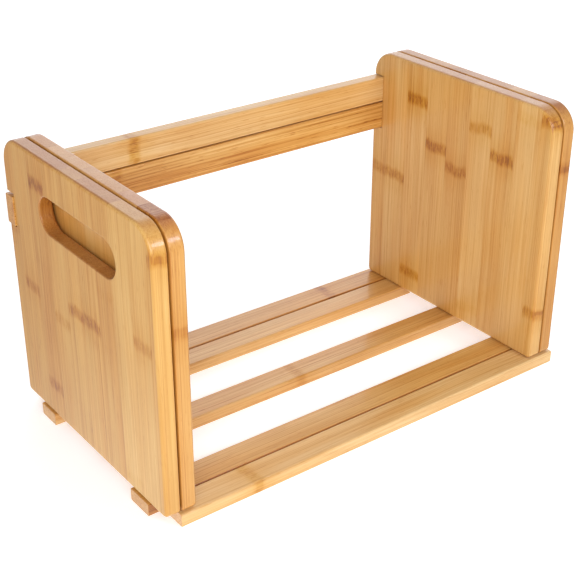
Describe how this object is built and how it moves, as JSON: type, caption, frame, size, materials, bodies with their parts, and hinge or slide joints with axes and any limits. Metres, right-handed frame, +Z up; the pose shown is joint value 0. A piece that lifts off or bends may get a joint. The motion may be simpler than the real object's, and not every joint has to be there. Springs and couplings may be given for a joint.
{
  "type": "expanding photo album stand",
  "caption": "Bamboo desktop album stand whose two halves slide along each other: solid end panels with hand slots, inner dividers, floor slats and back rails.",
  "frame": {"origin": "on the floor plane under the middle of the closed stand", "axes": "+X along the slats towards the right half, -Y is the open front, +Z is up"},
  "size_m": [0.3652, 0.2028, 0.2173],
  "materials": {
    "bamboo_panel": "edge-glued carbonised bamboo strips under a satin clear lacquer",
    "bamboo_slat": "planed bamboo, satin clear lacquer",
    "bamboo_rail": "planed bamboo, satin clear lacquer",
    "screw_steel": "yellow zinc plated"
  },
  "bodies": {
    "right_half": {"inner_left_panel": "bamboo_panel", "outer_right_panel": "bamboo_panel", "outer_front_slat": "bamboo_slat", "middle_slat": "bamboo_slat", "outer_rear_slat": "bamboo_slat", "upper_back_rail": "bamboo_rail", "outer_front_slat_left_screw": "screw_steel", "outer_front_slat_right_screw": "screw_steel", "middle_slat_left_screw": "screw_steel", "middle_slat_right_screw": "screw_steel", "outer_rear_slat_left_screw": "screw_steel", "outer_rear_slat_right_screw": "screw_steel", "upper_back_rail_left_screw": "screw_steel", "upper_back_rail_right_screw": "screw_steel"},
    "left_half": {"outer_left_panel": "bamboo_panel", "inner_right_panel": "bamboo_panel", "inner_front_slat": "bamboo_slat", "inner_rear_slat": "bamboo_slat", "lower_back_rail": "bamboo_rail", "inner_front_slat_left_screw": "screw_steel", "inner_front_slat_right_screw": "screw_steel", "inner_rear_slat_left_screw": "screw_steel", "inner_rear_slat_right_screw": "screw_steel", "lower_back_rail_left_screw": "screw_steel", "lower_back_rail_right_screw": "screw_steel"}
  },
  "joints": [
    {"name": "left_half_slide", "type": "slide", "parent": "right_half", "child": "left_half", "axis": [-1, 0, 0], "range_m": [0, 0.314]}
  ]
}
